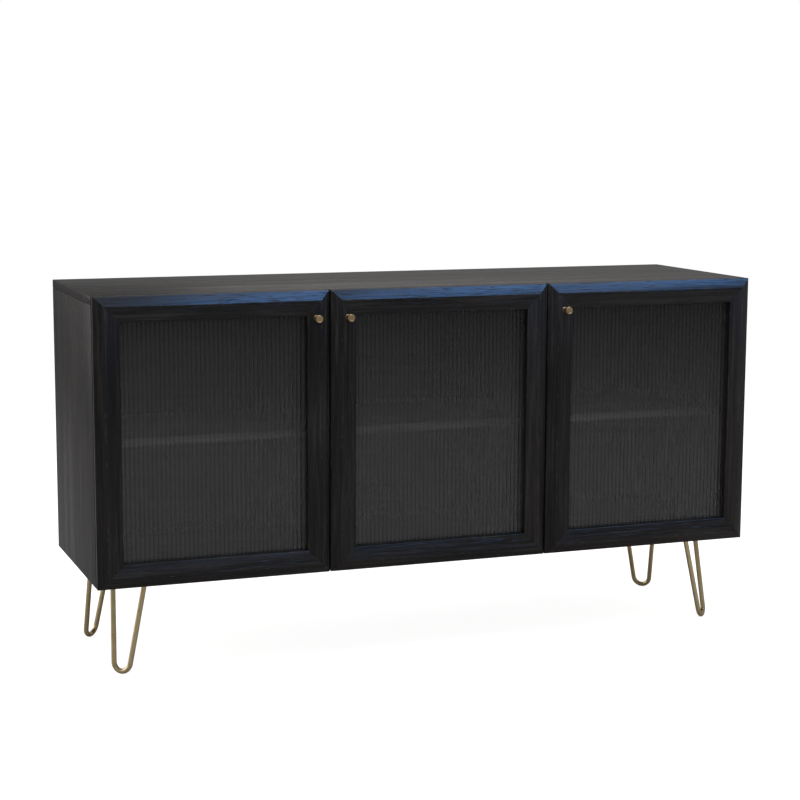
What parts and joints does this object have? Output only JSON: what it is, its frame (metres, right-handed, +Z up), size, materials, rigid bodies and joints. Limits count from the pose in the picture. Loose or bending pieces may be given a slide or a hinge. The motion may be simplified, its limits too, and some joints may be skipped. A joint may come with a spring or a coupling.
{
  "type": "sideboard buffet",
  "caption": "Low black wooden sideboard with framed doors of reeded glass, round brass knobs, inner shelves and splayed brass hairpin legs.",
  "frame": {"origin": "on the floor, under the middle of the overall box, knobs included", "axes": "+X to the right along the width as seen from the doors, +Y towards the back, +Z up; the doors face -Y"},
  "size_m": [1.524, 0.4828, 0.813],
  "materials": {
    "black_wood": "open-grain wood stained charcoal black, satin lacquer",
    "reeded_glass": "clear glass with vertical convex reeds on the front side",
    "brass": "satin lacquered brass plating",
    "steel": "nickel-plated pressed steel"
  },
  "bodies": {
    "carcase": {"top_panel": "black_wood", "bottom_panel": "black_wood", "left_side_panel": "black_wood", "right_side_panel": "black_wood", "back_panel": "black_wood", "left_divider": "black_wood", "right_divider": "black_wood", "left_shelf": "black_wood", "middle_shelf": "black_wood", "right_shelf": "black_wood", "front_left_leg": "brass", "front_right_leg": "brass", "back_left_leg": "brass", "back_right_leg": "brass", "left_door_lower_hinge_arm": "steel", "left_door_upper_hinge_arm": "steel", "middle_door_lower_hinge_arm": "steel", "middle_door_upper_hinge_arm": "steel", "right_door_lower_hinge_arm": "steel", "right_door_upper_hinge_arm": "steel"},
    "left_door": {"left_door_top_rail": "black_wood", "left_door_bottom_rail": "black_wood", "left_door_left_stile": "black_wood", "left_door_right_stile": "black_wood", "left_door_glass": "reeded_glass", "left_door_top_bead": "black_wood", "left_door_bottom_bead": "black_wood", "left_door_left_bead": "black_wood", "left_door_right_bead": "black_wood", "left_door_knob": "brass", "left_door_knob_screw": "steel", "left_door_upper_hinge_cup": "steel", "left_door_lower_hinge_cup": "steel"},
    "middle_door": {"middle_door_top_rail": "black_wood", "middle_door_bottom_rail": "black_wood", "middle_door_left_stile": "black_wood", "middle_door_right_stile": "black_wood", "middle_door_glass": "reeded_glass", "middle_door_top_bead": "black_wood", "middle_door_bottom_bead": "black_wood", "middle_door_left_bead": "black_wood", "middle_door_right_bead": "black_wood", "middle_door_knob": "brass", "middle_door_knob_screw": "steel", "middle_door_upper_hinge_cup": "steel", "middle_door_lower_hinge_cup": "steel"},
    "right_door": {"right_door_top_rail": "black_wood", "right_door_bottom_rail": "black_wood", "right_door_left_stile": "black_wood", "right_door_right_stile": "black_wood", "right_door_glass": "reeded_glass", "right_door_top_bead": "black_wood", "right_door_bottom_bead": "black_wood", "right_door_left_bead": "black_wood", "right_door_right_bead": "black_wood", "right_door_knob": "brass", "right_door_knob_screw": "steel", "right_door_upper_hinge_cup": "steel", "right_door_lower_hinge_cup": "steel"}
  },
  "joints": [
    {"name": "left_door_hinge", "type": "hinge", "parent": "carcase", "child": "left_door", "pos_m": [-0.752, -0.20006, 0.5075], "axis": [0, 0, -1], "range_deg": [0, 95]},
    {"name": "middle_door_hinge", "type": "hinge", "parent": "carcase", "child": "middle_door", "pos_m": [0.2425, -0.20006, 0.5075], "axis": [0, 0, 1], "range_deg": [0, 95]},
    {"name": "right_door_hinge", "type": "hinge", "parent": "carcase", "child": "right_door", "pos_m": [0.752, -0.20006, 0.5075], "axis": [0, 0, 1], "range_deg": [0, 95]}
  ]
}
